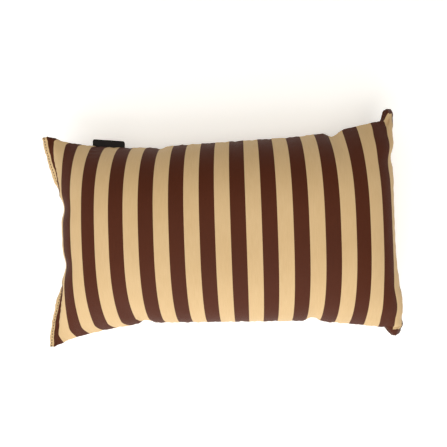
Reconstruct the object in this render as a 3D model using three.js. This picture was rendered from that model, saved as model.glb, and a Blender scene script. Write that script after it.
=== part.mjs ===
// A back cushion, 500 by 300 mm as cut, lying on its back.
// Millimetres, +Z up, +X to the right and +Y to the top of the front face.
// The front and back panels are closed by one seam all round, and the filled cover is one solid.
import * as THREE from 'three';

// Cut size of a panel, as half lengths from its middle
const PANEL_HALF_WIDTH = 250;
const PANEL_HALF_HEIGHT = 150;

// Size of the filled body at the seam, without its ears
const BODY_LEFT = 215.5;
const BODY_RIGHT = 219;
const TOP_EDGE = 123.5;
const BOTTOM_EDGE = 121;
// How much farther out each long edge lies at the right end than in the middle
const TOP_EDGE_RISE = 7;
const BOTTOM_EDGE_RISE = 2.3;

// Height of the crown above the seam, in front and behind, and the height of the seam when it lies
const FRONT_CROWN = 62.5;
const BACK_CROWN = 63.5;
const SEAM_HEIGHT = 58;

// Powers of the crown's section along and across the panel, and of how it draws the cloth in
const CROWN_ALONG = { power: 5.5, fall: 1.0, drawIn: 10 };
const CROWN_ACROSS = { power: 2.6, fall: 1.1, drawIn: 2.9 };

// The panel lifts off the seam in two small lips, and the thread draws a groove between them
const LIP_HEIGHT = 3;
const LIP_WIDTH = 3;
const GROOVE_DEPTH = 1.8;
const GROOVE_WIDTH = 1.2;

// How far each corner stands out beyond the drawn-in edges, sideways and lengthways, each with the
// power that keeps it for the tip, how far its tip is rounded off, and how much its last
// fingerbreadth stands up and out.
const EARS = {
  top_left: {
    sideways: 36, sidePower: 1, lengthways: 25, longPower: 2.1, rounding: 2, fingerUp: 0, fingerOut: 0,
  },
  top_right: {
    sideways: 10, sidePower: 1.8, lengthways: 23, longPower: 1.6, rounding: 2.5, fingerUp: 13, fingerOut: 18,
  },
  bottom_left: {
    sideways: 36, sidePower: 1, lengthways: 32, longPower: 1.7, rounding: 2, fingerUp: 0, fingerOut: 0,
  },
  bottom_right: {
    sideways: 20, sidePower: 1.4, lengthways: 18, longPower: 1.6, rounding: 8, fingerUp: 12, fingerOut: 14,
  },
};
const EAR_ROUNDING_REACH = 11;
const EAR_FULL_ON_SHORT_EDGE = 1.05;
const EAR_START_ON_LONG_EDGE = 0.365;
const FINGER_ALONG = [0.87, 0.91];
const FINGER_ACROSS = [0.8, 0.95];

// The left ears curl up towards the front, and the right ears bend down behind the face
const LEFT_CURL = { side: -1, start: 228, radius: 18, lift: 1 };
const RIGHT_CURL = { side: 1, start: 194.5, radius: 43, lift: -1 };
const CURL_START = 0.42;
const CURL_FULL = 0.85;

// Pinches where the filling pulls the cloth in at the seam.
// at is the place along the edge on the cut panel, reach is how far the fold runs inwards.
const PINCHES = [
  { edge: 'bottom', at: -111, depth: 6, width: 8, reach: 55, slant: -0.25 },
  { edge: 'bottom', at: 113, depth: 6, width: 8, reach: 50, slant: 0.05 },
  { edge: 'top', at: 147, depth: 7, width: 9, reach: 50, slant: 0.1 },
  { edge: 'top', at: -86, depth: 3, width: 9, reach: 40, slant: 0.1 },
  { edge: 'left', at: 43, depth: 11, width: 8.5, reach: 36, slant: -0.1 },
  { edge: 'left', at: -38, depth: 11, width: 9.5, reach: 36, slant: 0.05 },
  { edge: 'right', at: 92, depth: 5, width: 11, reach: 40, slant: -0.1 },
  { edge: 'right', at: 136, depth: 3, width: 3.5, reach: 20, slant: 0 },
  { edge: 'right', at: -137, depth: 4, width: 3.5, reach: 22, slant: 0 },
];
const PINCH_FLARE = 0.12;

// Mesh rows, as distances in from the seam, and the even step between the rest
const SEAM_ROWS = [0, 2.5, 6, 10.5, 15.5, 21];
const ROW_STEP = 10.8;

// Cloth label folded in two, sewn into the top seam
const LABEL = { left: -179, right: -134, height: 10, thickness: 1.6, corner: 3, root: 0.9, steps: 8 };

const CLOTH_COLOR = 0xdbbd8c;
const LABEL_COLOR = 0x17130f;

function clamp01(value) {
  return Math.min(Math.max(value, 0), 1);
}

function smoothStep(from, to, value) {
  const share = clamp01((value - from) / (to - from));
  return share * share * (3 - 2 * share);
}

// Cloth stays its own length, so it moves inwards where the crown takes length out of it.
function drawIn(share, cutLength, seamLength, power) {
  const spare = cutLength / seamLength - 1;
  return seamLength * share * (1 + spare * (1 - Math.abs(share) ** power));
}

function earAt(u, v) {
  const row = v > 0 ? 'top' : 'bottom';
  return EARS[`${row}_${u > 0 ? 'right' : 'left'}`];
}

// Half width of the seam outline at height v
function seamHalfWidth(u, v) {
  const { sideways, sidePower, fingerOut } = earAt(u, v);
  const ear = smoothStep(0, EAR_FULL_ON_SHORT_EDGE, Math.abs(v)) ** sidePower;
  const finger = smoothStep(...FINGER_ACROSS, Math.abs(v));
  return (u > 0 ? BODY_RIGHT : BODY_LEFT) + sideways * ear + fingerOut * finger;
}

// Half height of the seam outline at width u
function seamHalfHeight(u, v) {
  const along = Math.max(Math.abs(u) - EAR_START_ON_LONG_EDGE, 0) / (1 - EAR_START_ON_LONG_EDGE);
  const edge = v > 0 ? TOP_EDGE + TOP_EDGE_RISE * u : BOTTOM_EDGE + BOTTOM_EDGE_RISE * u;
  const { lengthways, longPower, fingerUp } = earAt(u, v);
  const finger = smoothStep(...FINGER_ALONG, Math.abs(u));
  return edge + lengthways * along ** longPower + fingerUp * finger;
}

function seamDistance(u, v) {
  return Math.min((1 - Math.abs(u)) * PANEL_HALF_WIDTH, (1 - Math.abs(v)) * PANEL_HALF_HEIGHT);
}

// Height of a panel off the seam plane: level in the middle, and round towards the edges
function crownHeight(crown, u, v) {
  const along = clamp01(1 - Math.abs(u) ** CROWN_ALONG.power) ** CROWN_ALONG.fall;
  const across = clamp01(1 - Math.abs(v) ** CROWN_ACROSS.power) ** CROWN_ACROSS.fall;
  const lip = LIP_HEIGHT * (1 - Math.exp(-seamDistance(u, v) / LIP_WIDTH));
  return crown * along * across + lip;
}

// How far a point near a corner is drawn in, both ways, so that the tip is round
function tipRounding(u, v) {
  const fromTip = (1 - Math.abs(u)) * PANEL_HALF_WIDTH + (1 - Math.abs(v)) * PANEL_HALF_HEIGHT;
  return earAt(u, v).rounding * Math.exp(-fromTip / EAR_ROUNDING_REACH);
}

// Bends the corners on one side about a line that runs up the page.
function curl(point, v, { side, start, radius, lift }) {
  const share = smoothStep(CURL_START, CURL_FULL, Math.abs(v));
  const beyond = side * point.x - start;
  if (beyond <= 0 || share < 0.001) return;
  const bendRadius = radius / share;
  const angle = beyond / bendRadius;
  const offset = point.z;
  point.x = side * (start + Math.sin(angle) * (bendRadius - lift * offset));
  point.z = lift * bendRadius * (1 - Math.cos(angle)) + offset * Math.cos(angle);
}

// A point of the smooth cushion, where u and v run from -1 to 1 over the cut panel
function smoothPoint(face, u, v) {
  const crown = face > 0 ? FRONT_CROWN : BACK_CROWN;
  const rounding = tipRounding(u, v);
  const point = new THREE.Vector3(
    drawIn(u, PANEL_HALF_WIDTH, seamHalfWidth(u, v), CROWN_ALONG.drawIn) - Math.sign(u) * rounding,
    drawIn(v, PANEL_HALF_HEIGHT, seamHalfHeight(u, v), CROWN_ACROSS.drawIn) - Math.sign(v) * rounding,
    face * crownHeight(crown, u, v),
  );
  curl(point, v, LEFT_CURL);
  curl(point, v, RIGHT_CURL);
  return point;
}

function outwardNormal(face, u, v) {
  const step = 0.002;
  const uMid = THREE.MathUtils.clamp(u, -1 + step, 1 - step);
  const vMid = THREE.MathUtils.clamp(v, -1 + step, 1 - step);
  const alongU = smoothPoint(face, uMid + step, vMid).sub(smoothPoint(face, uMid - step, vMid));
  const alongV = smoothPoint(face, uMid, vMid + step).sub(smoothPoint(face, uMid, vMid - step));
  return alongU.cross(alongV).multiplyScalar(face).normalize();
}

// At the seam both panels share the mean of their normals, and leave it a few millimetres in.
function reliefNormal(face, u, v) {
  const otherShare = 0.5 * Math.exp(-((seamDistance(u, v) / 6) ** 2));
  const own = outwardNormal(face, u, v).multiplyScalar(1 - otherShare);
  return own.addScaledVector(outwardNormal(-face, u, v), otherShare).normalize();
}

// Depth of the pinches and of the sewn groove at a place on the panel
function reliefDepth(u, v) {
  const x = u * PANEL_HALF_WIDTH;
  const y = v * PANEL_HALF_HEIGHT;
  let depth = GROOVE_DEPTH * Math.exp(-((seamDistance(u, v) / GROOVE_WIDTH) ** 2));
  for (const pinch of PINCHES) {
    const onLongEdge = pinch.edge === 'top' || pinch.edge === 'bottom';
    const sign = pinch.edge === 'top' || pinch.edge === 'right' ? 1 : -1;
    const inwards = onLongEdge ? PANEL_HALF_HEIGHT - sign * y : PANEL_HALF_WIDTH - sign * x;
    const sideways = (onLongEdge ? x : y) - pinch.at - pinch.slant * inwards;
    const width = pinch.width + PINCH_FLARE * inwards;
    depth += pinch.depth * Math.exp(-((sideways / width) ** 2) - (inwards / pinch.reach) ** 2);
  }
  return depth;
}

function cushionPoint(face, u, v) {
  const point = smoothPoint(face, u, v);
  point.addScaledVector(reliefNormal(face, u, v), -reliefDepth(u, v));
  point.z = Math.max(point.z + SEAM_HEIGHT, 0);
  return point;
}

// Shares from -1 to 1 for the mesh rows across a panel: close at the seam, then even
function meshRows(halfLength) {
  const lastSeamRow = SEAM_ROWS[SEAM_ROWS.length - 1];
  const evenLength = halfLength - lastSeamRow;
  const evenCount = Math.round(evenLength / ROW_STEP);
  const distances = [...SEAM_ROWS];
  for (let i = 1; i <= evenCount; i++) distances.push(lastSeamRow + (evenLength * i) / evenCount);
  const leftHalf = distances.map((distance) => distance / halfLength - 1);
  const rightHalf = leftHalf.slice(0, -1).reverse().map((share) => -share);
  return [...leftHalf, ...rightHalf];
}

// One closed mesh: two grids of points that share their outermost ring, which is the seam
function cushionGeometry() {
  const columns = meshRows(PANEL_HALF_WIDTH);
  const rows = meshRows(PANEL_HALF_HEIGHT);
  const positions = [];
  const indices = [];
  const grids = { front: [], back: [] };
  const isSeam = (i, j) => i === 0 || j === 0 || i === columns.length - 1 || j === rows.length - 1;
  const addPoint = (point) => {
    positions.push(point.x, point.y, point.z);
    return positions.length / 3 - 1;
  };
  for (let i = 0; i < columns.length; i++) {
    grids.front.push(rows.map((v) => addPoint(cushionPoint(1, columns[i], v))));
    grids.back.push(rows.map((v, j) => (
      isSeam(i, j) ? grids.front[i][j] : addPoint(cushionPoint(-1, columns[i], v)))));
  }
  const addCell = (a, b, c, d) => indices.push(a, b, c, a, c, d);
  for (let i = 0; i < columns.length - 1; i++) {
    for (let j = 0; j < rows.length - 1; j++) {
      const { front, back } = grids;
      addCell(front[i][j], front[i + 1][j], front[i + 1][j + 1], front[i][j + 1]);
      addCell(back[i][j], back[i][j + 1], back[i + 1][j + 1], back[i + 1][j]);
    }
  }
  const geometry = new THREE.BufferGeometry();
  geometry.setAttribute('position', new THREE.Float32BufferAttribute(positions, 3));
  geometry.setIndex(indices);
  geometry.computeVertexNormals();
  return geometry;
}

// Share of the cut width at which the top seam lies at a given x
function seamShareAt(x) {
  let low = -1;
  let high = 1;
  for (let i = 0; i < 40; i++) {
    const middle = (low + high) / 2;
    if (cushionPoint(1, middle, 1).x < x) low = middle;
    else high = middle;
  }
  return low;
}

// The label's root follows the seam, a little clear of the bottom of the groove.
function labelGeometry() {
  const root = [];
  for (let i = 0; i <= LABEL.steps; i++) {
    const x = THREE.MathUtils.lerp(LABEL.left, LABEL.right, i / LABEL.steps);
    const seam = cushionPoint(1, seamShareAt(x), 1);
    root.push(new THREE.Vector2(x, seam.y + LABEL.root));
  }
  const first = root[0];
  const last = root[LABEL.steps];
  const topLeft = first.y + LABEL.height;
  const topRight = last.y + LABEL.height;
  const shape = new THREE.Shape();
  shape.moveTo(first.x, first.y);
  for (const point of root.slice(1)) shape.lineTo(point.x, point.y);
  shape.lineTo(last.x, topRight - LABEL.corner);
  shape.quadraticCurveTo(last.x, topRight, last.x - LABEL.corner, topRight);
  shape.lineTo(first.x + LABEL.corner, topLeft);
  shape.quadraticCurveTo(first.x, topLeft, first.x, topLeft - LABEL.corner);
  shape.closePath();
  const geometry = new THREE.ExtrudeGeometry(shape, {
    depth: LABEL.thickness,
    bevelEnabled: false,
    curveSegments: 5,
  });
  geometry.translate(0, 0, SEAM_HEIGHT - LABEL.thickness / 2);
  return geometry;
}

const cushion = new THREE.Mesh(
  cushionGeometry(),
  new THREE.MeshStandardMaterial({ color: CLOTH_COLOR, roughness: 0.75, metalness: 0 }),
);
cushion.name = 'cushion';

const label = new THREE.Mesh(
  labelGeometry(),
  new THREE.MeshStandardMaterial({ color: LABEL_COLOR, roughness: 0.5, metalness: 0 }),
);
label.name = 'label_tab';

// The origin is below the middle of the whole cushion, on the surface that it lies on.
const part = new THREE.Group();
part.add(cushion, label);
const middle = new THREE.Box3().setFromObject(part).getCenter(new THREE.Vector3());
part.position.set(-middle.x, -middle.y, 0);
part.updateMatrixWorld(true);

export default part;
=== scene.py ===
"""A back cushion, 500 by 300 mm as cut, lying on its back, in cream and brown stripes.

The cover is worked out on its two flat panels, where u and v run from -1 to 1. It starts as the
filled form of the model, a small cloth solver lets the panels crease at their true cut size, and
a fine mesh then takes the seam, the stripes and the weave.
"""
import math

import bpy
import numpy as np
from mathutils import Matrix, Quaternion, Vector


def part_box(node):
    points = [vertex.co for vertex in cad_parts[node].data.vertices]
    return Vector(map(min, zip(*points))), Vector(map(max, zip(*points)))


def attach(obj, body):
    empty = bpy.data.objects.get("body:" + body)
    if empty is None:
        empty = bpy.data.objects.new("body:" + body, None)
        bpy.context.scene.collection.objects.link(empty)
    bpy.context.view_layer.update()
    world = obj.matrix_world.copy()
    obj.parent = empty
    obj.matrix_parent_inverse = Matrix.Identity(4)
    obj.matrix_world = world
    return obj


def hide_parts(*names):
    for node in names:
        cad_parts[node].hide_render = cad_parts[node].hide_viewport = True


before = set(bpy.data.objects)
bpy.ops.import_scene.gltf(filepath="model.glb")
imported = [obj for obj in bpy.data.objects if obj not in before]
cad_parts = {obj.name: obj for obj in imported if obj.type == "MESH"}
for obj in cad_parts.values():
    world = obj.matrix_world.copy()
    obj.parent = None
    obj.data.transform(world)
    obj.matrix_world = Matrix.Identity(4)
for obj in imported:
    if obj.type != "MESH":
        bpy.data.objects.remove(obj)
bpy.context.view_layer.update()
cushion_low, cushion_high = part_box("cushion")
label_low, label_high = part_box("label_tab")

MM = 0.001

# Cut size of a panel, as half lengths from its middle
PANEL_HALF_WIDTH = 250 * MM
PANEL_HALF_HEIGHT = 150 * MM

# Size of the filled body at the seam, without its ears
BODY_LEFT = 215.5 * MM
BODY_RIGHT = 219 * MM
TOP_EDGE = 123.5 * MM
BOTTOM_EDGE = 121 * MM
TOP_EDGE_RISE = 7 * MM
BOTTOM_EDGE_RISE = 2.3 * MM

# Height of the crown above the seam, in front and behind, and the height of the seam
FRONT_CROWN = 62.5 * MM
BACK_CROWN = 63.5 * MM
SEAM_HEIGHT = 58 * MM
LIP_HEIGHT = 3 * MM
LIP_WIDTH = 3 * MM

# Powers of the crown's section along and across the panel: profile, fall, draw-in
CROWN_ALONG = (5.5, 1.0, 10)
CROWN_ACROSS = (2.6, 1.1, 2.9)

# How far each corner stands out beyond the drawn-in edges, sideways and lengthways, each with the
# power that keeps it for the tip, how far its tip is rounded off both ways, and how far the long
# edge stands out beside the tip, which is the shoulder. Then how much its last fingerbreadth stands
# up and out, where on the long edge that begins and is full, how thick its front and back lips are,
# and how much less it is bent just below its tip.
EARS = {
    ("top", "left"): {
        "sideways": 36 * MM, "side_power": 0.95, "lengthways": 27.5 * MM, "long_power": 2.1,
        "rounding": 0.5 * MM, "long_rounding": 10 * MM, "shoulder": 5 * MM,
        "finger_up": 0, "finger_out": 0,
        "finger_start": 0.87, "finger_full": 0.91,
        "lip": 4 * MM, "back_lip": 4 * MM, "unbend": 0,
    },
    ("top", "right"): {
        "sideways": 10 * MM, "side_power": 1.8, "lengthways": 23 * MM, "long_power": 1.6,
        "rounding": 4 * MM, "long_rounding": 4 * MM, "shoulder": 0,
        "finger_up": 15 * MM, "finger_out": 18 * MM,
        "finger_start": 0.868, "finger_full": 0.908,
        "lip": 3 * MM, "back_lip": 3 * MM, "unbend": 0.15,
    },
    ("bottom", "left"): {
        "sideways": 34.5 * MM, "side_power": 0.95, "lengthways": 33 * MM, "long_power": 1.7,
        "rounding": 1.3 * MM, "long_rounding": 6 * MM, "shoulder": 4 * MM,
        "finger_up": 0, "finger_out": 0,
        "finger_start": 0.87, "finger_full": 0.91,
        "lip": 4 * MM, "back_lip": 4 * MM, "unbend": 0,
    },
    ("bottom", "right"): {
        "sideways": 20 * MM, "side_power": 1.28, "lengthways": 18 * MM, "long_power": 1.6,
        "rounding": 17 * MM, "long_rounding": 17 * MM, "shoulder": 0,
        "finger_up": 13.5 * MM, "finger_out": 14 * MM,
        "finger_start": 0.825, "finger_full": 0.91,
        "lip": 3 * MM, "back_lip": 3 * MM, "unbend": 0.25,
    },
}
EAR_ROUNDING_REACH = 11 * MM
EAR_FULL_ON_SHORT_EDGE = 1.05
EAR_START_ON_LONG_EDGE = 0.365
FINGER_START_ACROSS = 0.8
FINGER_FULL_ACROSS = 0.95
SHOULDER_START = 0.865
SHOULDER_FULL = 0.965
# Where the ears' own lips set in, across and along the panel, and how much narrower they are
EAR_LIP_START = 0.5
EAR_LIP_FULL = 0.95
EAR_LIP_START_ALONG = 0.85
EAR_LIP_FULL_ALONG = 0.96
EAR_LIP_NARROWING = 0.5

# The rim of the left ears rolls up, so that its seam shows in front: width, radius, shares of the
# height between which it sets in, how much tighter it is at the tip, and where that sets in
ROLL_WIDTH = 15 * MM
ROLL_RADIUS = 12.5 * MM
ROLL_START = 0.32
ROLL_FULL = 0.62
TIP_ROLL = 0.3
TIP_ROLL_START = 0.7
TIP_ROLL_FULL = 0.95
# The right ears bend down about an upright line: start, radius, shares of the height between which
# it sets in, and the shares where less bending below the tip begins, is full and starts to end
BEND_START = 194.5 * MM
BEND_RADIUS = 43 * MM
BEND_SETS_IN = 0.47
BEND_FULL = 0.85
UNBEND_START = 0.64
UNBEND_FULL = 0.86
UNBEND_FADES = 0.88

# Bends weaker than this share are left out, and no length is divided by one below these
LEAST_BEND = 0.001
LEAST_LENGTH = 1e-12
LEAST_GAP = 1e-9
# Half the span over which a normal is measured, where half the panel is 1, and how far in from the
# seam the two panels share their normals
NORMAL_STEP = 0.002
SHARED_NORMAL_REACH = 6 * MM

# Pinches at the seam: edge, place along it, depth, width, reach, slant
PINCHES = (
    ("bottom", -111 * MM, 6 * MM, 8 * MM, 55 * MM, -0.25),
    ("bottom", 113 * MM, 6 * MM, 8 * MM, 50 * MM, 0.05),
    ("top", 147 * MM, 7 * MM, 9 * MM, 50 * MM, 0.10),
    ("top", -86 * MM, 3 * MM, 9 * MM, 40 * MM, 0.10),
    ("left", 43 * MM, 11 * MM, 8.5 * MM, 36 * MM, -0.10),
    ("left", -38 * MM, 11 * MM, 9.5 * MM, 36 * MM, 0.05),
    ("right", 92 * MM, 5 * MM, 11 * MM, 40 * MM, -0.10),
    ("right", 136 * MM, 3 * MM, 3.5 * MM, 20 * MM, 0),
    ("right", -137 * MM, 4 * MM, 3.5 * MM, 22 * MM, 0),
)
PINCH_FLARE = 0.12

# Small folds across the front of the right ears: place on the panel, slope, half length, half
# width, depth
SMALL_FOLDS = (
    (225 * MM, 140 * MM, 0, 7 * MM, 2.2 * MM, 3.5 * MM),
    (224 * MM, -136 * MM, 0.6, 9 * MM, 1.5 * MM, 4 * MM),
)

# Stripes: the width of one, and where the first brown one starts on the panel
STRIPE = 18.8 * MM
FIRST_BROWN = -253.6 * MM

# Camera: turn and tilt off the face, roll, distance from its target, and focal length in pixels
CAMERA_TURN = 3.05
CAMERA_TILT = -0.37
CAMERA_ROLL = 1.91
CAMERA_DISTANCE = 553.4 * MM
FOCAL_PIXELS = 406.2
PICTURE_PIXELS = 447
SENSOR_WIDTH = 36
# The camera's target from the middle of the panel, at the height of the seam
TARGET_X = -2.2 * MM
TARGET_Y = 12.5 * MM


def smooth_step(start, end, value):
    share = np.clip((value - start) / (end - start), 0, 1)
    return share * share * (3 - 2 * share)


def draw_in(share, cut, seam, power):
    """Cloth stays its own length, so it moves inwards where the crown takes length out of it."""
    return seam * share * (1 + (cut / seam - 1) * (1 - np.abs(share) ** power))


def by_corner(u, v, name):
    """The named value of the nearest ear at each point"""
    top = np.where(u > 0, EARS["top", "right"][name], EARS["top", "left"][name])
    bottom = np.where(u > 0, EARS["bottom", "right"][name], EARS["bottom", "left"][name])
    return np.where(v > 0, top, bottom)


def seam_distance(u, v):
    return np.minimum((1 - np.abs(u)) * PANEL_HALF_WIDTH, (1 - np.abs(v)) * PANEL_HALF_HEIGHT)


def curl(x, z, side, start, radius, lift, share):
    """Bends what lies beyond an upright line at one side, upwards for a lift of 1, down for -1"""
    beyond = side * x - start
    bent = (beyond > 0) & (share > LEAST_BEND)
    bend_radius = radius / np.maximum(share, LEAST_BEND)
    angle = np.where(bent, beyond / bend_radius, 0)
    bent_x = side * (start + np.sin(angle) * (bend_radius - lift * z))
    bent_z = lift * bend_radius * (1 - np.cos(angle)) + z * np.cos(angle)
    return np.where(bent, bent_x, x), np.where(bent, bent_z, z)


def smooth_form(face, u, v):
    """Points of the filled cushion without folds, with z counted from the seam"""
    across, along = np.abs(v), np.abs(u)
    short_ear = smooth_step(0, EAR_FULL_ON_SHORT_EDGE, across) ** by_corner(u, v, "side_power")
    finger_across = smooth_step(FINGER_START_ACROSS, FINGER_FULL_ACROSS, across)
    half_width = np.where(u > 0, BODY_RIGHT, BODY_LEFT) + by_corner(u, v, "sideways") * short_ear
    half_width = half_width + by_corner(u, v, "finger_out") * finger_across
    long_ear = np.clip(along - EAR_START_ON_LONG_EDGE, 0, None) / (1 - EAR_START_ON_LONG_EDGE)
    finger_start, finger_full = by_corner(u, v, "finger_start"), by_corner(u, v, "finger_full")
    finger_along = smooth_step(finger_start, finger_full, along)
    edge = np.where(v > 0, TOP_EDGE + TOP_EDGE_RISE * u, BOTTOM_EDGE + BOTTOM_EDGE_RISE * u)
    long_ear = long_ear ** by_corner(u, v, "long_power")
    half_height = edge + by_corner(u, v, "lengthways") * long_ear
    half_height = half_height + by_corner(u, v, "finger_up") * finger_along
    beside_tip = smooth_step(SHOULDER_START, SHOULDER_FULL, along)
    half_height = half_height + by_corner(u, v, "shoulder") * beside_tip
    from_tip = (1 - along) * PANEL_HALF_WIDTH + (1 - across) * PANEL_HALF_HEIGHT
    at_tip = np.exp(-from_tip / EAR_ROUNDING_REACH)
    power_u, fall_u, draw_u = CROWN_ALONG
    power_v, fall_v, draw_v = CROWN_ACROSS
    x = draw_in(u, PANEL_HALF_WIDTH, half_width, draw_u)
    y = draw_in(v, PANEL_HALF_HEIGHT, half_height, draw_v)
    x = x - np.sign(u) * by_corner(u, v, "rounding") * at_tip
    y = y - np.sign(v) * by_corner(u, v, "long_rounding") * at_tip
    profile = np.clip(1 - along ** power_u, 0, 1) ** fall_u
    profile = profile * np.clip(1 - across ** power_v, 0, 1) ** fall_v
    in_tip = smooth_step(EAR_LIP_START, EAR_LIP_FULL, across)
    tip_lip = by_corner(u, v, "lip" if face > 0 else "back_lip")
    near_end = smooth_step(EAR_LIP_START_ALONG, EAR_LIP_FULL_ALONG, along)
    lip = LIP_HEIGHT + (tip_lip - LIP_HEIGHT) * in_tip * near_end
    lip_width = LIP_WIDTH * (1 - EAR_LIP_NARROWING * in_tip)
    lip = lip * (1 - np.exp(-seam_distance(u, v) / lip_width))
    z = face * ((FRONT_CROWN if face > 0 else BACK_CROWN) * profile + lip)
    below_tip = smooth_step(UNBEND_START, UNBEND_FULL, across)
    below_tip = below_tip * (1 - smooth_step(UNBEND_FADES, 1, across))
    unbend = 1 - by_corner(u, v, "unbend") * below_tip
    tighter = 1 + TIP_ROLL * smooth_step(TIP_ROLL_START, TIP_ROLL_FULL, across)
    roll = smooth_step(ROLL_START, ROLL_FULL, across) * tighter
    bend = smooth_step(BEND_SETS_IN, BEND_FULL, across) * unbend
    x, z = curl(x, z, -1, half_width - ROLL_WIDTH, ROLL_RADIUS, 1, roll)
    x, z = curl(x, z, 1, BEND_START, BEND_RADIUS, -1, bend)
    return np.stack([x, y, z], -1)


def pinch_depth(u, v):
    """How far the pinches draw the cloth in at each point"""
    x, y = u * PANEL_HALF_WIDTH, v * PANEL_HALF_HEIGHT
    depth = np.zeros_like(x)
    for edge, at, deep, width, reach, slant in PINCHES:
        sign = 1 if edge in ("top", "right") else -1
        if edge in ("top", "bottom"):
            inwards, place = PANEL_HALF_HEIGHT - sign * y, x
        else:
            inwards, place = PANEL_HALF_WIDTH - sign * x, y
        sideways = (place - at - slant * inwards) / (width + PINCH_FLARE * inwards)
        depth += deep * np.exp(-sideways ** 2 - (inwards / reach) ** 2)
    return depth


def unit(vectors):
    return vectors / np.maximum(np.linalg.norm(vectors, axis=-1, keepdims=True), LEAST_LENGTH)


def outward(face, u, v):
    """Normals of one panel of the smooth form"""
    step = NORMAL_STEP
    mid_u, mid_v = np.clip(u, step - 1, 1 - step), np.clip(v, step - 1, 1 - step)
    along_u = smooth_form(face, mid_u + step, mid_v) - smooth_form(face, mid_u - step, mid_v)
    along_v = smooth_form(face, mid_u, mid_v + step) - smooth_form(face, mid_u, mid_v - step)
    return unit(np.cross(along_u, along_v) * face)


def relief_normal(face, u, v):
    """At the seam both panels share the mean of their normals, and part from it farther in."""
    other = 0.5 * np.exp(-(seam_distance(u, v) / SHARED_NORMAL_REACH) ** 2)[..., None]
    return unit(outward(face, u, v) * (1 - other) + outward(-face, u, v) * other)


def pinched_form(face, u, v):
    form = smooth_form(face, u, v)
    return form - relief_normal(face, u, v) * pinch_depth(u, v)[..., None]


# Cloth solver: cells along and across a panel, rounds, and how strongly each rule acts in a round
SOLVER_COLUMNS = 120
SOLVER_ROWS = 72
SOLVER_ROUNDS = 200
KEEP_SPEED = 0.85
FILL_HOLD = 0.06
SHEAR_HOLD = 0.25
BEND_HOLD = 0.06
LARGEST_MOVE = 4 * MM
START_UNEVENNESS = 0.2 * MM
SOLVER_SEED = 7
ON_SEAM = 0.9999
# A point may move this share of its way to the seam, and not at all in the ears, which set in
# between these shares along and across the panel
ROOM_BY_SEAM = 0.15
STILL_ALONG = (0.5, 0.75)
STILL_ACROSS = (0.2, 0.5)


def hold_length(points, axis, rest, share):
    """Brings the neighbours along an axis towards their length on the flat panel."""
    moved = np.moveaxis(points, axis, 0)
    for first in (0, 1):
        count = (moved.shape[0] - first) // 2
        a = moved[first:first + 2 * count:2]
        b = moved[first + 1:first + 1 + 2 * count:2]
        gap = b - a
        length = np.linalg.norm(gap, axis=-1, keepdims=True)
        push = gap * (0.5 * share * (1 - rest / np.maximum(length, LEAST_GAP)))
        a += push
        b -= push


def hold_diagonals(points, rest, share):
    """Keeps the cells of the cloth from shearing."""
    for a, b in (
        (points[:, :-1, :-1], points[:, 1:, 1:]),
        (points[:, 1:, :-1], points[:, :-1, 1:]),
    ):
        gap = b - a
        length = np.linalg.norm(gap, axis=-1, keepdims=True)
        push = gap * (0.25 * share * (1 - rest / np.maximum(length, LEAST_GAP)))
        a += push
        b -= push


def stiffen(points, axis, share):
    """Cloth is a little stiff, so each point is drawn towards the line between its neighbours."""
    moved = np.moveaxis(points, axis, 0)
    moved[1:-1] += share * (0.5 * (moved[:-2] + moved[2:]) - moved[1:-1])


def solve_creases():
    """How far the cloth of each panel moves off the pinched form when it keeps its cut size"""
    u, v = np.meshgrid(
        np.linspace(-1, 1, SOLVER_COLUMNS + 1), np.linspace(-1, 1, SOLVER_ROWS + 1), indexing="ij"
    )
    start = np.stack([pinched_form(face, u, v) for face in (1, -1)])
    start[..., 2] = np.maximum(start[..., 2], -SEAM_HEIGHT)
    rest_u = 2 * PANEL_HALF_WIDTH / SOLVER_COLUMNS
    rest_v = 2 * PANEL_HALF_HEIGHT / SOLVER_ROWS
    seam = (np.abs(u) > ON_SEAM) | (np.abs(v) > ON_SEAM)
    in_ear = smooth_step(*STILL_ALONG, np.abs(u)) * smooth_step(*STILL_ACROSS, np.abs(v))
    room = np.minimum(LARGEST_MOVE, ROOM_BY_SEAM * seam_distance(u, v)) * (1 - in_ear)
    room = room[None, ..., None]
    rng = np.random.default_rng(SOLVER_SEED)
    points = start + rng.normal(0, START_UNEVENNESS, start.shape)
    points[:, seam] = start[:, seam]
    speed = np.zeros_like(points)
    for _ in range(SOLVER_ROUNDS):
        before = points.copy()
        points += speed * KEEP_SPEED
        points += (start - points) * FILL_HOLD
        hold_length(points, 1, rest_u, 1)
        hold_length(points, 2, rest_v, 1)
        hold_diagonals(points, math.hypot(rest_u, rest_v), SHEAR_HOLD)
        stiffen(points, 1, BEND_HOLD)
        stiffen(points, 2, BEND_HOLD)
        move = points - start
        size = np.linalg.norm(move, axis=-1, keepdims=True)
        points[:] = start + move * np.minimum(1, room / np.maximum(size, LEAST_GAP))
        points[:, seam] = start[:, seam]
        points[..., 2] = np.maximum(points[..., 2], -SEAM_HEIGHT)
        speed = points - before
    return points - start


def spread(field, u, v):
    """Smooth (bicubic) values of the solver's field at any place on the panel"""
    def weights(places, count):
        at = (np.clip(places, -1, 1) + 1) / 2 * (count - 1)
        cell = np.clip(np.floor(at).astype(int), 0, count - 2)
        t = at - cell
        index = np.clip(cell[:, None] + np.arange(-1, 3), 0, count - 1)
        w = np.stack([
            -0.5 * t + t ** 2 - 0.5 * t ** 3,
            1 - 2.5 * t ** 2 + 1.5 * t ** 3,
            0.5 * t + 2 * t ** 2 - 1.5 * t ** 3,
            -0.5 * t ** 2 + 0.5 * t ** 3,
        ], -1)
        return index, w
    index_u, weight_u = weights(u, field.shape[0])
    index_v, weight_v = weights(v, field.shape[1])
    rows = np.einsum("aij,ai->aj", field[index_u].reshape(len(u), 4, -1), weight_u)
    rows = rows.reshape(len(u), field.shape[1], 3)
    return np.einsum("abkc,bk->abc", rows[:, index_v], weight_v)


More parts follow.
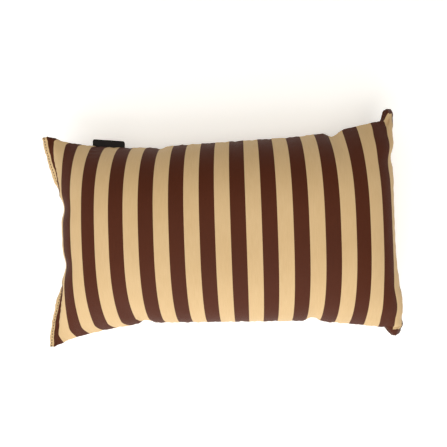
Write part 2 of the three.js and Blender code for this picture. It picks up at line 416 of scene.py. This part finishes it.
# Fine mesh: rows close to the seam, then even ones
SEAM_ROWS = [distance * MM for distance in (0, 0.5, 1.0, 1.6, 2.3, 3.2, 4.4, 6.0, 7.9)]
FINE_STEP = 2.1 * MM
GROOVE_DEPTH = 1.8 * MM
GROOVE_WIDTH = 1.2 * MM
# Gathers along the seam: wave and size of each, where in the wave they may start, how they sway,
# how many waves in they fade out, and the margin at the seam over which they set in
GATHERS = ((7.3 * MM, 0.16 * MM), (11.9 * MM, 0.22 * MM), (19 * MM, 0.3 * MM))
GATHER_SEED = 11
GATHER_STARTS = (0, 6.28)
GATHER_SWAY = 0.35
GATHER_SWAY_WAVE = 31 * MM
GATHER_SWAY_TURN = 6
GATHER_REACH = 1.3
GATHER_MARGIN = 2 * MM
# Keeps the gathers of the short sides out of step with those of the long ones
GATHER_OFFSET = 0.7


def mesh_rows(half_length):
    even = half_length - SEAM_ROWS[-1]
    count = round(even / FINE_STEP)
    distances = SEAM_ROWS + [SEAM_ROWS[-1] + even * (i + 1) / count for i in range(count)]
    left = np.array(distances) / half_length - 1
    return np.concatenate([left, -left[-2::-1]])


def gathers(u, v):
    """Small gathers that the thread leaves along the seam"""
    rng = np.random.default_rng(GATHER_SEED)
    x, y = u * PANEL_HALF_WIDTH, v * PANEL_HALF_HEIGHT
    depth = np.zeros_like(x)
    for place, inwards in (
        (x, PANEL_HALF_HEIGHT - np.abs(y)),
        (y + GATHER_OFFSET, PANEL_HALF_WIDTH - np.abs(x)),
    ):
        for wave, size in GATHERS:
            sway = GATHER_SWAY * np.sin(place / GATHER_SWAY_WAVE + rng.uniform(*GATHER_STARTS))
            turn = 2 * math.pi * place / wave + sway * GATHER_SWAY_TURN
            ripple = np.sin(turn + rng.uniform(*GATHER_STARTS))
            depth += size * ripple * np.exp(-(inwards / (GATHER_REACH * wave)) ** 2)
    return depth


def small_fold_depth(u, v):
    x, y = u * PANEL_HALF_WIDTH, v * PANEL_HALF_HEIGHT
    depth = np.zeros_like(x)
    for at_x, at_y, slope, half_length, half_width, deep in SMALL_FOLDS:
        across = (y - at_y - slope * (x - at_x)) / half_width
        depth += deep * np.exp(-((x - at_x) / half_length) ** 2 - across ** 2)
    return depth


def panel_points(face, u_line, v_line, creases):
    u, v = np.meshgrid(u_line, v_line, indexing="ij")
    points = pinched_form(face, u, v) + spread(creases, u_line, v_line)
    inwards = seam_distance(u, v)
    depth = GROOVE_DEPTH * np.exp(-(inwards / GROOVE_WIDTH) ** 2)
    depth += gathers(u, v) * np.clip(inwards / GATHER_MARGIN, 0, 1)
    if face > 0:
        depth += small_fold_depth(u, v)
    points -= relief_normal(face, u, v) * depth[..., None]
    points[..., 2] += SEAM_HEIGHT
    return points


def grid_faces(index, turned):
    """Corner numbers of the cells of a grid of points"""
    a, b, c, d = index[:-1, :-1], index[1:, :-1], index[1:, 1:], index[:-1, 1:]
    order = (a, d, c, b) if turned else (a, b, c, d)
    return np.stack(order, -1).reshape(-1, 4)


def split_corners(faces, index):
    """Splits the four corner cells through the corner, so that front and back share no diagonal"""
    corners = {int(index[i, j]) for i in (0, -1) for j in (0, -1)}
    split = []
    for face in faces.tolist():
        corner = corners.intersection(face)
        if corner:
            first = face.index(corner.pop())
            a, b, c, d = face[first:] + face[:first]
            split += [[a, b, c], [a, c, d]]
        else:
            split.append(face)
    return split


def mesh_object(name, points, faces):
    mesh = bpy.data.meshes.new(name)
    mesh.from_pydata(points.tolist(), [], [list(map(int, face)) for face in faces])
    mesh.validate()
    mesh.shade_smooth()
    piece = bpy.data.objects.new(name, mesh)
    bpy.context.scene.collection.objects.link(piece)
    return piece


# The front panel turns over at the left seam and shows a narrow cream lip there, which is narrower
# in the lower half. The stripes of the back panel are set over a little.
LIP_SHIFT = 9 * MM
LIP_START = 245.6 * MM
LIP_END = 248.6 * MM
BOTTOM_LIP_LESS = 1.3 * MM
LOWER_TO_UPPER = (-0.6, 0.6)
BACK_SHIFT = 7.6 * MM
# Near the seam of the left ears the stripes swing to the right: edge, amount, shares across and
# along
BOTTOM_SWING = (-1, 7 * MM, (0.84, 1.02), (0.3, 0.5))
TOP_SWING = (1, 5 * MM, (0.93, 1.0), (0.5, 0.7))
# The outermost stripes of the top left ear lie a little farther in: how far, between which
# distances from the middle, and between which shares of the height this sets in
LEFT_SHIFT = 3.2 * MM
LEFT_SHIFT_START = 200 * MM
LEFT_SHIFT_FULL = 235 * MM
LEFT_SHIFT_UP = (0.35, 0.6)


def set_uv(piece, front, back, front_corners):
    """The front faces come first in the mesh, with so many face corners in all."""
    layer = piece.data.uv_layers.new(name="cloth")
    corners = np.empty(len(piece.data.loops), dtype=np.int32)
    piece.data.loops.foreach_get("vertex_index", corners)
    values = np.concatenate([front[corners[:front_corners]], back[corners[front_corners:]]])
    layer.data.foreach_set("uv", values.astype(np.float32).ravel())


def make_cover():
    creases = solve_creases()
    u_line, v_line = mesh_rows(PANEL_HALF_WIDTH), mesh_rows(PANEL_HALF_HEIGHT)
    front = panel_points(1, u_line, v_line, creases[0])
    back = panel_points(-1, u_line, v_line, creases[1])
    u, v = np.meshgrid(u_line, v_line, indexing="ij")
    inner = (slice(1, -1), slice(1, -1))
    front_index = np.arange(u.size).reshape(u.shape)
    back_index = front_index.copy()
    back_index[inner] = u.size + np.arange(u[inner].size).reshape(u[inner].shape)
    points = np.concatenate([front.reshape(-1, 3), back[inner].reshape(-1, 3)])
    middle = (points.max(0) + points.min(0)) / 2
    offset = np.array((cushion_low + cushion_high) / 2) - middle
    offset[2] = 0
    points += offset
    points[:, 2] = np.maximum(points[:, 2], 0)
    front_faces = split_corners(grid_faces(front_index, False), front_index)
    back_faces = split_corners(grid_faces(back_index, True), back_index)
    cover = mesh_object("cushion_cover", points, front_faces + back_faces)
    x, y = u * PANEL_HALF_WIDTH, v * PANEL_HALF_HEIGHT
    outermost = smooth_step(LEFT_SHIFT_START, LEFT_SHIFT_FULL, -x)
    moved = LEFT_SHIFT * outermost * smooth_step(*LEFT_SHIFT_UP, v)
    for sign, amount, across, along in (TOP_SWING, BOTTOM_SWING):
        moved = moved + amount * smooth_step(*across, sign * v) * smooth_step(*along, -u)
    below = 1 - smooth_step(*LOWER_TO_UPPER, v)
    turned_over = smooth_step(LIP_START, LIP_END, -x - BOTTOM_LIP_LESS * below)
    front_x = x - moved + (moved - LIP_SHIFT) * turned_over
    front_cloth = np.stack([front_x, y], -1)
    back_cloth = np.stack([x - BACK_SHIFT, y], -1)
    front_uv, back_uv = (
        np.concatenate([cloth.reshape(-1, 2), cloth[inner].reshape(-1, 2)])
        for cloth in (front_cloth, back_cloth)
    )
    front_corners = sum(len(face) for face in front_faces)
    set_uv(cover, front_uv, back_uv, front_corners)
    return cover, offset


SEAM_SAMPLES = 1500


def seam_line(spacing):
    """Even points round the sewn seam, at the bottom of the groove, with the way out at each"""
    side = np.linspace(-1, 1, SEAM_SAMPLES)
    ones = np.ones_like(side)
    u = np.concatenate([side, ones, -side, -ones])
    v = np.concatenate([-ones, side, ones, -side])
    points = pinched_form(1, u, v)
    way_out = relief_normal(1, u, v)
    points = points - way_out * GROOVE_DEPTH
    points[:, 2] += SEAM_HEIGHT
    length = np.concatenate([[0], np.cumsum(np.linalg.norm(np.diff(points, axis=0), axis=1))])
    places = np.arange(0, length[-1], spacing)
    pick = lambda values: np.stack([np.interp(places, length, values[:, k]) for k in range(3)], -1)
    return pick(points), unit(pick(way_out))


STITCH_SPACING = 4 * MM
STITCH_LENGTH = 2.7 * MM
THREAD_RADIUS = 0.5 * MM
STITCH_LIFT = 0.2 * MM
STITCH_RINGS = 5
STITCH_SIDES = 6
# Thickness that a stitch keeps at its ends, as a share of its section
STITCH_END = 0.1


def make_stitches(offset):
    """Short lengths of thread that show in the seam groove, joined in one mesh"""
    places, way_out = seam_line(STITCH_SPACING)
    places = places + offset + way_out * STITCH_LIFT
    along = unit(np.roll(places, -1, axis=0) - np.roll(places, 1, axis=0))
    across = unit(np.cross(along, way_out))
    rings, sides = STITCH_RINGS, STITCH_SIDES
    points, faces = [], []
    for place, ahead, out, side in zip(places, along, unit(np.cross(across, along)), across):
        first = len(points)
        for ring in range(rings):
            share = (ring + 0.5) / rings * 2 - 1
            radius = THREAD_RADIUS * math.sqrt(max(1 - share ** 4, STITCH_END))
            for k in range(sides):
                turn = 2 * math.pi * k / sides
                rim = out * math.cos(turn) + side * math.sin(turn)
                points.append(place + ahead * (share * STITCH_LENGTH / 2) + rim * radius)
        for ring in range(rings - 1):
            for k in range(sides):
                a, b = first + ring * sides + k, first + ring * sides + (k + 1) % sides
                faces.append((a, b, b + sides, a + sides))
        faces.append(tuple(first + k for k in reversed(range(sides))))
        faces.append(tuple(first + (rings - 1) * sides + k for k in range(sides)))
    return mesh_object("seam_thread", np.array(points), faces)


LABEL_THICKNESS = 1.6 * MM
LABEL_CORNER = 3 * MM
LABEL_HEIGHT = 10 * MM
LABEL_ROOT = 0.9 * MM
LABEL_STATIONS = 56
LABEL_ROWS = 14
LABEL_FOLD_STEPS = 8
LABEL_SAMPLES = 1200
# Its cut ends are pressed thin, its middle swells a little, and it bows once and ripples
LABEL_END_REACH = 0.5 * MM
LABEL_END_SHARE = 0.45
LABEL_SWELL = 0.18
LABEL_BOW = 0.5 * MM
LABEL_RIPPLE = 0.25 * MM
LABEL_RIPPLES = 5


def make_label(offset):
    """A strip folded in two: two layers with a round fold, standing in the seam groove"""
    u = np.linspace(-1, 0, LABEL_SAMPLES)
    ones = np.ones_like(u)
    seam = pinched_form(1, u, ones) - relief_normal(1, u, ones) * GROOVE_DEPTH + offset
    ends = (label_low.x, label_high.x)
    share = 0.5 - 0.5 * np.cos(np.linspace(0, math.pi, LABEL_STATIONS + 1))
    x = ends[0] + (ends[1] - ends[0]) * share
    root = np.interp(x, seam[:, 0], seam[:, 1]) + LABEL_ROOT
    top = np.interp(x, ends, np.interp(ends, seam[:, 0], seam[:, 1])) + LABEL_ROOT + LABEL_HEIGHT
    to_end = np.minimum(x - ends[0], ends[1] - x)
    corner = np.clip(LABEL_CORNER - to_end, 0, LABEL_CORNER)
    top -= LABEL_CORNER - np.sqrt(LABEL_CORNER ** 2 - corner ** 2)
    edge = np.sqrt(1 - (1 - np.clip(to_end / LABEL_END_REACH, 0, 1)) ** 2)
    half = LABEL_THICKNESS / 2 * (LABEL_END_SHARE + (1 - LABEL_END_SHARE) * edge)
    points = []
    for i in range(LABEL_STATIONS + 1):
        fold_start = top[i] - half[i]
        bow = LABEL_BOW * math.sin(math.pi * share[i])
        bow += LABEL_RIPPLE * math.sin(LABEL_RIPPLES * math.pi * share[i])
        profile = []
        for k in range(LABEL_ROWS + 1):
            rise = k / LABEL_ROWS
            swell = 1 + LABEL_SWELL * math.sin(math.pi * rise)
            profile.append((root[i] + (fold_start - root[i]) * rise, half[i] * swell, rise))
        fold = []
        for k in range(1, LABEL_FOLD_STEPS):
            turn = math.pi * k / LABEL_FOLD_STEPS
            fold.append((fold_start + half[i] * math.sin(turn), half[i] * math.cos(turn), 1))
        loop = profile + fold + [(y, -z, rise) for y, z, rise in reversed(profile)]
        points.extend((x[i], y, SEAM_HEIGHT + z + bow * rise ** 2) for y, z, rise in loop)
    around = len(loop)
    faces = []
    for i in range(LABEL_STATIONS):
        for k in range(around):
            a, b = i * around + k, i * around + (k + 1) % around
            faces.append((a, a + around, b + around, b))
    faces.append(tuple(range(around)))
    faces.append(tuple(LABEL_STATIONS * around + k for k in reversed(range(around))))
    return mesh_object("label_strip", np.array(points), faces)


class Nodes:
    """Short calls for building a material's node tree"""

    def __init__(self, name):
        self.material = bpy.data.materials.new(name)
        self.material.use_nodes = True
        self.tree = self.material.node_tree
        self.shader = self.tree.nodes["Principled BSDF"]

    def add(self, kind, inputs=None, **settings):
        node = self.tree.nodes.new("ShaderNode" + kind)
        for key, value in settings.items():
            setattr(node, key, value)
        for key, value in (inputs or {}).items():
            self.feed(node.inputs[key], value)
        return node

    def feed(self, socket, value):
        if isinstance(value, bpy.types.NodeSocket):
            self.tree.links.new(value, socket)
        else:
            socket.default_value = value

    def math(self, operation, a, b=0.0, c=0.0):
        node = self.add("Math", {0: a, 1: b, 2: c}, operation=operation)
        return node.outputs[0]

    def mix(self, share, a, b, blend="MIX"):
        node = self.add("Mix", data_type="RGBA", blend_type=blend)
        for name, value in (("Factor_Float", share), ("A_Color", a), ("B_Color", b)):
            socket = next(s for s in node.inputs if s.identifier == name)
            self.feed(socket, value)
        return next(s for s in node.outputs if s.identifier == "Result_Color")

    def ramp(self, value, low, high, to_low=0.0, to_high=1.0):
        inputs = {"Value": value, "From Min": low, "From Max": high}
        node = self.add("MapRange", {**inputs, "To Min": to_low, "To Max": to_high})
        return node.outputs["Result"]


def linear(red, green, blue):
    """An eight-bit screen colour as the linear colour that a shader takes"""
    def channel(value):
        share = value / 255
        return share / 12.92 if share <= 0.04045 else ((share + 0.055) / 1.055) ** 2.4
    return (channel(red), channel(green), channel(blue), 1)


CREAM = linear(224, 193, 147)
CREAM_DEEP = linear(213, 180, 132)
BROWN = linear(84, 36, 12)
BROWN_DEEP = linear(76, 31, 9)
# How soft a border is: between stripes, as a share of a stripe, and at a cap, as a length
STRIPE_EDGE = 0.006
CAP_EDGE = 0.3 * MM
# Added so that the count of stripes stays above zero, and odd so that brown_middle is brown
STRIPES_BEFORE = 101
TWILL_PITCH = 0.9 * MM
TWILL_SLANT = 0.8
THREAD_PITCH = 0.55 * TWILL_PITCH
# How much the threads show beside the ribs, and the weave's painted shade in hollows and highlight
# on heights
THREAD_SHARE = 0.35
WEAVE_PAINTED_SHADE_AND_HIGHLIGHT = (0.93, 1.05)
# Large patches and slubs mix the two tones of each colour, over this span of their noise
PATCH_SHARE = 0.55
TONE_SPAN = (0.3, 0.7)
CLOTH_ROUGHNESS = 0.56
FIBRE_ROUGHNESS = 0.12
FIBRE_RELIEF = 0.8
CLOTH_GLOSS = 0.2
# Sizes of the noise in the cloth, higher for finer, and of the slubs, drawn out along the stripes
FIBRE_SCALE = 2600.0
PATCH_SCALE = 11.0
SOFT_SCALE = 55.0
SLUB_SCALE = (900, 60, 1)
# Relief of the weave and of the soft unevenness below it
WEAVE_BUMP = {"Strength": 0.35, "Distance": 0.12 * MM}
SOFT_BUMP = {"Strength": 0.25, "Distance": 1.2 * MM}
# The outermost brown stripe comes round both tips at the right: edge (1 top, -1 bottom), where its
# border starts and ends to dip, and how far from the middle it lies there and beyond
CAP_LEFT = 205 * MM
CAPS = (
    (1, 221 * MM, 228 * MM, 146.8 * MM, 143 * MM),
    (-1, 212 * MM, 224 * MM, 146 * MM, 138 * MM),
)


def cover_material():
    n = Nodes("striped_cloth")
    uv = n.add("UVMap", uv_map="cloth").outputs[0]
    axes = n.add("SeparateXYZ", {0: uv})
    x, y = axes.outputs[0], axes.outputs[1]
    brown_middle = FIRST_BROWN + STRIPE / 2
    count = n.math("MULTIPLY_ADD", x, 1 / STRIPE, STRIPES_BEFORE - brown_middle / STRIPE)
    wave = n.math("PINGPONG", count, 1)
    stripe = n.ramp(wave, 0.5 - STRIPE_EDGE, 0.5 + STRIPE_EDGE)
    beyond = n.ramp(x, CAP_LEFT, CAP_LEFT + CAP_EDGE)
    for sign, dip_start, dip_end, border, dipped in CAPS:
        cap_border = n.ramp(x, dip_start, dip_end, border, dipped)
        above = n.math("SUBTRACT", n.math("MULTIPLY", y, sign), cap_border)
        cap = n.math("MULTIPLY", beyond, n.ramp(above, 0, CAP_EDGE))
        stripe = n.math("MAXIMUM", stripe, cap)
    # Twill: slanting ribs, crossed by the threads that run along the stripes
    slant = n.math("MULTIPLY_ADD", y, TWILL_SLANT, x)
    rib = n.math("SINE", n.math("MULTIPLY", slant, 2 * math.pi / TWILL_PITCH))
    thread = n.math("SINE", n.math("MULTIPLY", y, 2 * math.pi / THREAD_PITCH))
    weave = n.math("MULTIPLY_ADD", thread, THREAD_SHARE, rib)
    fibre = n.add("TexNoise", {"Vector": uv, "Scale": FIBRE_SCALE, "Detail": 2.0}).outputs[0]
    patch = n.add("TexNoise", {"Vector": uv, "Scale": PATCH_SCALE, "Detail": 3.0}).outputs[0]
    drawn_out = n.add("Mapping", {"Vector": uv, "Scale": SLUB_SCALE}).outputs[0]
    slub = n.add("TexNoise", {"Vector": drawn_out, "Scale": 1.0}).outputs[0]
    patches = n.math("MULTIPLY", patch, PATCH_SHARE)
    slubs = n.math("MULTIPLY", slub, 1 - PATCH_SHARE)
    tone = n.math("ADD", patches, slubs)
    cream = n.mix(n.ramp(tone, *TONE_SPAN), CREAM, CREAM_DEEP)
    brown = n.mix(n.ramp(tone, *TONE_SPAN), BROWN, BROWN_DEEP)
    colour = n.mix(stripe, cream, brown)
    # The weave's hollows are painted darker as shade and its heights lighter as highlight in the
    # base colour
    highest = 1 + THREAD_SHARE
    shade = n.ramp(weave, -highest, highest, *WEAVE_PAINTED_SHADE_AND_HIGHLIGHT)
    grey = n.add("CombineColor", {0: shade, 1: shade, 2: shade}).outputs[0]
    n.feed(n.shader.inputs["Base Color"], n.mix(1.0, colour, grey, "MULTIPLY"))
    rough = n.math("MULTIPLY_ADD", fibre, FIBRE_ROUGHNESS, CLOTH_ROUGHNESS)
    n.feed(n.shader.inputs["Roughness"], rough)
    n.shader.inputs["Specular IOR Level"].default_value = CLOTH_GLOSS
    relief = n.math("MULTIPLY_ADD", fibre, FIBRE_RELIEF, weave)
    weave_bump = n.add("Bump", {**WEAVE_BUMP, "Height": relief})
    soft = n.add("TexNoise", {"Vector": uv, "Scale": SOFT_SCALE, "Detail": 2.0}).outputs[0]
    soft_bump = n.add("Bump", {**SOFT_BUMP, "Height": soft, "Normal": weave_bump.outputs[0]})
    n.feed(n.shader.inputs["Normal"], soft_bump.outputs[0])
    return n.material


LABEL_COLOURS = (linear(14, 11, 10), linear(30, 25, 23))
LABEL_GLOSS = 0.2
# Roughness of the label's low and high grain
LABEL_ROUGHNESS = (0.42, 0.6)
LABEL_GRAIN_RELIEF = 0.5
LABEL_PEBBLE_SCALE = 1500.0
LABEL_PEBBLE_EDGE = 0.25
LABEL_FINE_SCALE = 700.0
# Spans of the fine noise over which its colour and its roughness change
LABEL_COLOUR_SPAN = (0.35, 0.7)
LABEL_ROUGHNESS_SPAN = (0.3, 0.7)
LABEL_BUMP = {"Strength": 0.4, "Distance": 0.15 * MM}


def label_material():
    n = Nodes("black_label")
    place = n.add("TexCoord").outputs["Object"]
    pebbles = {"Vector": place, "Scale": LABEL_PEBBLE_SCALE}
    grain = n.add("TexVoronoi", pebbles, feature="DISTANCE_TO_EDGE")
    fine = n.add("TexNoise", {"Vector": place, "Scale": LABEL_FINE_SCALE, "Detail": 4.0}).outputs[0]
    colour = n.mix(n.ramp(fine, *LABEL_COLOUR_SPAN), *LABEL_COLOURS)
    n.feed(n.shader.inputs["Base Color"], colour)
    rough = n.ramp(fine, *LABEL_ROUGHNESS_SPAN, *LABEL_ROUGHNESS)
    n.feed(n.shader.inputs["Roughness"], rough)
    n.shader.inputs["Specular IOR Level"].default_value = LABEL_GLOSS
    grooves = n.ramp(grain.outputs["Distance"], 0, LABEL_PEBBLE_EDGE)
    height = n.math("MULTIPLY_ADD", fine, LABEL_GRAIN_RELIEF, grooves)
    bump = n.add("Bump", {**LABEL_BUMP, "Height": height})
    n.feed(n.shader.inputs["Normal"], bump.outputs[0])
    return n.material


# The thread is painted dark brown so that its stitches give the dark dots of painted shade in the
# stitch holes of the seam groove
THREAD_AND_STITCH_SHADE_COLOURS = (linear(70, 44, 26), linear(104, 70, 42))
THREAD_ROUGHNESS = 0.6
FUZZ_SCALE = 1800.0
FUZZ_SPAN = (0.35, 0.65)
THREAD_BUMP = {"Strength": 0.5, "Distance": 0.1 * MM}


def thread_material():
    n = Nodes("sewing_thread")
    place = n.add("TexCoord").outputs["Object"]
    fuzz = n.add("TexNoise", {"Vector": place, "Scale": FUZZ_SCALE, "Detail": 2.0}).outputs[0]
    # Dark thread colour, partly painted shade of the stitch holes, mixed by the fuzz
    colour = n.mix(n.ramp(fuzz, *FUZZ_SPAN), *THREAD_AND_STITCH_SHADE_COLOURS)
    n.feed(n.shader.inputs["Base Color"], colour)
    n.shader.inputs["Roughness"].default_value = THREAD_ROUGHNESS
    bump = n.add("Bump", {**THREAD_BUMP, "Height": fuzz})
    n.feed(n.shader.inputs["Normal"], bump.outputs[0])
    return n.material


# The floor glows faintly, so that it stays pale round the cushion
FLOOR_GLOW = 0.3
FLOOR_COLOURS = ((0.95, 0.95, 0.95, 1), (0.97, 0.97, 0.97, 1))
FLOOR_ROUGHNESS = 0.9
FLOOR_GLOW_COLOUR = (1, 1, 1, 1)


def floor_material():
    n = Nodes("pale_floor")
    place = n.add("TexCoord").outputs["Object"]
    mottle = n.add("TexNoise", {"Vector": place, "Scale": 3.0}).outputs[0]
    colour = n.mix(mottle, *FLOOR_COLOURS)
    n.feed(n.shader.inputs["Base Color"], colour)
    n.shader.inputs["Roughness"].default_value = FLOOR_ROUGHNESS
    n.shader.inputs["Emission Color"].default_value = FLOOR_GLOW_COLOUR
    n.shader.inputs["Emission Strength"].default_value = FLOOR_GLOW
    return n.material


def make_camera(offset):
    turn, tilt, roll = (math.radians(a) for a in (CAMERA_TURN, CAMERA_TILT, CAMERA_ROLL))
    back = Vector((
        math.sin(turn) * math.cos(tilt),
        math.sin(tilt),
        math.cos(turn) * math.cos(tilt),
    ))
    right = Vector((0, 1, 0)).cross(back).normalized()
    up = back.cross(right)
    data = bpy.data.cameras.new("photo_camera")
    data.sensor_width = SENSOR_WIDTH
    data.lens = FOCAL_PIXELS / PICTURE_PIXELS * SENSOR_WIDTH
    camera = bpy.data.objects.new("photo_camera", data)
    camera.rotation_mode = "QUATERNION"
    facing = Matrix((right, up, back)).transposed().to_quaternion()
    camera.rotation_quaternion = facing @ Quaternion((0, 0, 1), -roll)
    target = Vector((TARGET_X + offset[0], TARGET_Y + offset[1], SEAM_HEIGHT))
    camera.location = target + back * CAMERA_DISTANCE
    bpy.context.scene.collection.objects.link(camera)
    bpy.context.scene.camera = camera


def area_light(name, place, size, watts, colour):
    data = bpy.data.lights.new(name, "AREA")
    data.size = size
    data.energy = watts
    data.color = colour
    light = bpy.data.objects.new(name, data)
    light.location = place
    light.rotation_euler = Vector(place).to_track_quat("Z", "Y").to_euler()
    bpy.context.scene.collection.objects.link(light)


# Lights: name, place, size, watts, colour
LIGHTS = (
    ("window", (-0.35, -1.85, 1.35), 1.8, 36, (0.98, 1.0, 1.02)),
    ("left_fill", (-1.5, 0.1, 0.8), 1.2, 5, (1.0, 0.99, 0.97)),
    ("top_fill", (0.25, -0.3, 2.1), 2.0, 22, (1.0, 0.93, 0.8)),
)
WORLD_COLOUR = (1.0, 0.985, 0.95, 1)
WORLD_STRENGTH = 0.24
FLOOR_SIZE = 6


def make_lights():
    for light in LIGHTS:
        area_light(*light)
    world = bpy.data.worlds.new("studio")
    world.use_nodes = True
    background = world.node_tree.nodes["Background"]
    background.inputs[0].default_value = WORLD_COLOUR
    background.inputs[1].default_value = WORLD_STRENGTH
    bpy.context.scene.world = world
    bpy.context.scene.view_settings.view_transform = "Standard"


def make_floor():
    bpy.ops.mesh.primitive_plane_add(size=FLOOR_SIZE)
    floor = bpy.context.object
    floor.name = "pale_floor"
    floor.data.materials.append(floor_material())


def finish_piece(piece, material, node=None):
    piece.data.materials.append(material)
    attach(piece, "root")
    if node:
        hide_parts(node)


cover, panel_offset = make_cover()
make_camera(panel_offset)
finish_piece(cover, cover_material(), "cushion")
finish_piece(make_stitches(panel_offset), thread_material())
finish_piece(make_label(panel_offset), label_material(), "label_tab")
make_lights()
make_floor()
